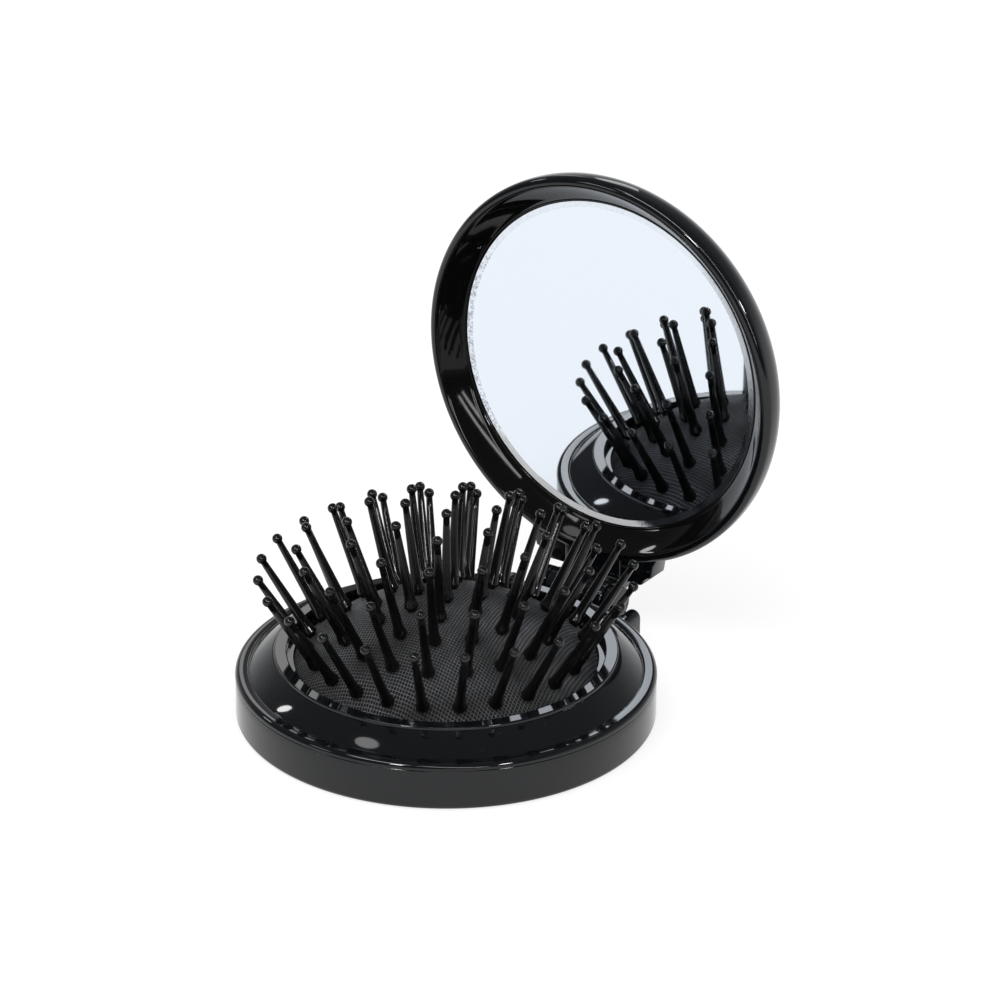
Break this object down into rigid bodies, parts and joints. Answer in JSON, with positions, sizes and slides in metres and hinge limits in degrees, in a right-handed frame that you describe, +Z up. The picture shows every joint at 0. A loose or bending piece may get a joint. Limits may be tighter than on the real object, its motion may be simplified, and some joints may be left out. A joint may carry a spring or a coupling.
{
  "type": "folding pocket hairbrush with mirror",
  "caption": "Round pocket hairbrush, open: ball-tipped pins fan out from a domed rubber cushion in a low base, and a round mirror stands in the hinged lid.",
  "frame": {"origin": "centre of the base's underside, on the table", "axes": "+Z up out of the brush, +Y towards the hinge, +X along the hinge axis"},
  "size_m": [0.066, 0.0821, 0.0758],
  "materials": {
    "shell_plastic": "high-gloss black",
    "pin_plastic": "satin black",
    "cushion_rubber": "fine cross-hatched black rubber",
    "mirror_silver": "silvered glass with a ground edge",
    "tape_white": "matt white foam tape",
    "pin_steel": "drawn steel wire"
  },
  "bodies": {
    "base": {"base_shell": "shell_plastic", "base_bezel": "shell_plastic", "hinge_pin": "pin_steel"},
    "lid": {"lid_shell": "shell_plastic", "mirror_frame": "shell_plastic", "mirror_tape": "tape_white", "mirror_glass": "mirror_silver"},
    "cup": {"push_cup": "shell_plastic", "cushion_pad": "cushion_rubber"},
    "centre_pin": {"pin_centre": "pin_plastic"},
    "ring_1": {"pins_ring_1": "pin_plastic"},
    "ring_2": {"pins_ring_2": "pin_plastic"},
    "ring_3_01": {"pins_ring_3_01": "pin_plastic"},
    "ring_3_02": {"pins_ring_3_02": "pin_plastic"},
    "ring_3_03": {"pins_ring_3_03": "pin_plastic"},
    "ring_3_04": {"pins_ring_3_04": "pin_plastic"},
    "ring_3_05": {"pins_ring_3_05": "pin_plastic"},
    "ring_3_06": {"pins_ring_3_06": "pin_plastic"},
    "ring_3_07": {"pins_ring_3_07": "pin_plastic"},
    "ring_3_08": {"pins_ring_3_08": "pin_plastic"},
    "ring_3_09": {"pins_ring_3_09": "pin_plastic"},
    "ring_4_01": {"pins_ring_4_01": "pin_plastic"},
    "ring_4_02": {"pins_ring_4_02": "pin_plastic"},
    "ring_4_03": {"pins_ring_4_03": "pin_plastic"},
    "ring_4_04": {"pins_ring_4_04": "pin_plastic"},
    "ring_4_05": {"pins_ring_4_05": "pin_plastic"},
    "ring_4_06": {"pins_ring_4_06": "pin_plastic"},
    "ring_4_07": {"pins_ring_4_07": "pin_plastic"},
    "ring_4_08": {"pins_ring_4_08": "pin_plastic"},
    "ring_4_09": {"pins_ring_4_09": "pin_plastic"},
    "ring_4_10": {"pins_ring_4_10": "pin_plastic"},
    "ring_4_11": {"pins_ring_4_11": "pin_plastic"},
    "ring_4_12": {"pins_ring_4_12": "pin_plastic"}
  },
  "joints": [
    {"name": "lid_hinge", "type": "hinge", "parent": "base", "child": "lid", "pos_m": [0, 0.0378, 0.0053], "axis": [1, 0, 0], "range_deg": [0, 90]},
    {"name": "cup_slide", "type": "slide", "parent": "base", "child": "cup", "axis": [0, 0, -1], "range_m": [0, 0.0075]},
    {"name": "centre_sink", "type": "slide", "parent": "cup", "child": "centre_pin", "axis": [0, 0, -1], "range_m": [0, 0.0156], "deforming": ["cushion_pad"]},
    {"name": "ring_1_sink", "type": "slide", "parent": "cup", "child": "ring_1", "axis": [0, 0, -1], "range_m": [0, 0.0149]},
    {"name": "ring_2_sink", "type": "slide", "parent": "cup", "child": "ring_2", "axis": [0, 0, -1], "range_m": [0, 0.013]},
    {"name": "lean_3_01", "type": "hinge", "parent": "cup", "child": "ring_3_01", "pos_m": [0.0633, 0.00665, 0.00918], "axis": [0.1045, -0.9945, 0], "range_deg": [0, 13]},
    {"name": "lean_3_02", "type": "hinge", "parent": "cup", "child": "ring_3_02", "pos_m": [0.04421, 0.04578, 0.00918], "axis": [0.7193, -0.6947, 0], "range_deg": [0, 13]},
    {"name": "lean_3_03", "type": "hinge", "parent": "cup", "child": "ring_3_03", "pos_m": [0.00444, 0.06349, 0.00918], "axis": [0.9976, -0.0698, 0], "range_deg": [0, 13]},
    {"name": "lean_3_04", "type": "hinge", "parent": "cup", "child": "ring_3_04", "pos_m": [-0.03741, 0.05149, 0.00918], "axis": [0.809, 0.5878, 0], "range_deg": [0, 13]},
    {"name": "lean_3_05", "type": "hinge", "parent": "cup", "child": "ring_3_05", "pos_m": [-0.06175, 0.0154, 0.00918], "axis": [0.2419, 0.9703, 0], "range_deg": [0, 13]},
    {"name": "lean_3_06", "type": "hinge", "parent": "cup", "child": "ring_3_06", "pos_m": [-0.0572, -0.0279, 0.00918], "axis": [-0.4384, 0.8988, 0], "range_deg": [0, 13]},
    {"name": "lean_3_07", "type": "hinge", "parent": "cup", "child": "ring_3_07", "pos_m": [-0.02589, -0.05814, 0.00918], "axis": [-0.9135, 0.4067, 0], "range_deg": [0, 13]},
    {"name": "lean_3_08", "type": "hinge", "parent": "cup", "child": "ring_3_08", "pos_m": [0.01754, -0.06118, 0.00918], "axis": [-0.9613, -0.2756, 0], "range_deg": [0, 13]},
    {"name": "lean_3_09", "type": "hinge", "parent": "cup", "child": "ring_3_09", "pos_m": [0.05276, -0.03559, 0.00918], "axis": [-0.5592, -0.829, 0], "range_deg": [0, 13]},
    {"name": "lean_4_01", "type": "hinge", "parent": "cup", "child": "ring_4_01", "pos_m": [0.03729, 0.00228, 0.0073], "axis": [0.061, -0.9981, 0], "range_deg": [0, 27]},
    {"name": "lean_4_02", "type": "hinge", "parent": "cup", "child": "ring_4_02", "pos_m": [0.03116, 0.02062, 0.0073], "axis": [0.5519, -0.8339, 0], "range_deg": [0, 27]},
    {"name": "lean_4_03", "type": "hinge", "parent": "cup", "child": "ring_4_03", "pos_m": [0.01667, 0.03344, 0.0073], "axis": [0.8949, -0.4462, 0], "range_deg": [0, 27]},
    {"name": "lean_4_04", "type": "hinge", "parent": "cup", "child": "ring_4_04", "pos_m": [-0.00228, 0.03729, 0.0073], "axis": [0.9981, 0.061, 0], "range_deg": [0, 27]},
    {"name": "lean_4_05", "type": "hinge", "parent": "cup", "child": "ring_4_05", "pos_m": [-0.02062, 0.03116, 0.0073], "axis": [0.8339, 0.5519, 0], "range_deg": [0, 27]},
    {"name": "lean_4_06", "type": "hinge", "parent": "cup", "child": "ring_4_06", "pos_m": [-0.03344, 0.01667, 0.0073], "axis": [0.4462, 0.8949, 0], "range_deg": [0, 27]},
    {"name": "lean_4_07", "type": "hinge", "parent": "cup", "child": "ring_4_07", "pos_m": [-0.03729, -0.00228, 0.0073], "axis": [-0.061, 0.9981, 0], "range_deg": [0, 27]},
    {"name": "lean_4_08", "type": "hinge", "parent": "cup", "child": "ring_4_08", "pos_m": [-0.03116, -0.02062, 0.0073], "axis": [-0.5519, 0.8339, 0], "range_deg": [0, 27]},
    {"name": "lean_4_09", "type": "hinge", "parent": "cup", "child": "ring_4_09", "pos_m": [-0.01667, -0.03344, 0.0073], "axis": [-0.8949, 0.4462, 0], "range_deg": [0, 27]},
    {"name": "lean_4_10", "type": "hinge", "parent": "cup", "child": "ring_4_10", "pos_m": [0.00228, -0.03729, 0.0073], "axis": [-0.9981, -0.061, 0], "range_deg": [0, 27]},
    {"name": "lean_4_11", "type": "hinge", "parent": "cup", "child": "ring_4_11", "pos_m": [0.02062, -0.03116, 0.0073], "axis": [-0.8339, -0.5519, 0], "range_deg": [0, 27]},
    {"name": "lean_4_12", "type": "hinge", "parent": "cup", "child": "ring_4_12", "pos_m": [0.03344, -0.01667, 0.0073], "axis": [-0.4462, -0.8949, 0], "range_deg": [0, 27]}
  ],
  "couplings": [
    {"joint": "cup_slide", "follows": "lid_hinge", "m_per_rad": 0.0047746},
    {"joint": "centre_sink", "follows": "lid_hinge", "m_per_rad": 0.0099313},
    {"joint": "ring_1_sink", "follows": "lid_hinge", "m_per_rad": 0.0094856},
    {"joint": "ring_2_sink", "follows": "lid_hinge", "m_per_rad": 0.0082761},
    {"joint": "lean_3_01", "follows": "lid_hinge", "ratio": 0.14444},
    {"joint": "lean_3_02", "follows": "lid_hinge", "ratio": 0.14444},
    {"joint": "lean_3_03", "follows": "lid_hinge", "ratio": 0.14444},
    {"joint": "lean_3_04", "follows": "lid_hinge", "ratio": 0.14444},
    {"joint": "lean_3_05", "follows": "lid_hinge", "ratio": 0.14444},
    {"joint": "lean_3_06", "follows": "lid_hinge", "ratio": 0.14444},
    {"joint": "lean_3_07", "follows": "lid_hinge", "ratio": 0.14444},
    {"joint": "lean_3_08", "follows": "lid_hinge", "ratio": 0.14444},
    {"joint": "lean_3_09", "follows": "lid_hinge", "ratio": 0.14444},
    {"joint": "lean_4_01", "follows": "lid_hinge", "ratio": 0.3},
    {"joint": "lean_4_02", "follows": "lid_hinge", "ratio": 0.3},
    {"joint": "lean_4_03", "follows": "lid_hinge", "ratio": 0.3},
    {"joint": "lean_4_04", "follows": "lid_hinge", "ratio": 0.3},
    {"joint": "lean_4_05", "follows": "lid_hinge", "ratio": 0.3},
    {"joint": "lean_4_06", "follows": "lid_hinge", "ratio": 0.3},
    {"joint": "lean_4_07", "follows": "lid_hinge", "ratio": 0.3},
    {"joint": "lean_4_08", "follows": "lid_hinge", "ratio": 0.3},
    {"joint": "lean_4_09", "follows": "lid_hinge", "ratio": 0.3},
    {"joint": "lean_4_10", "follows": "lid_hinge", "ratio": 0.3},
    {"joint": "lean_4_11", "follows": "lid_hinge", "ratio": 0.3},
    {"joint": "lean_4_12", "follows": "lid_hinge", "ratio": 0.3}
  ]
}
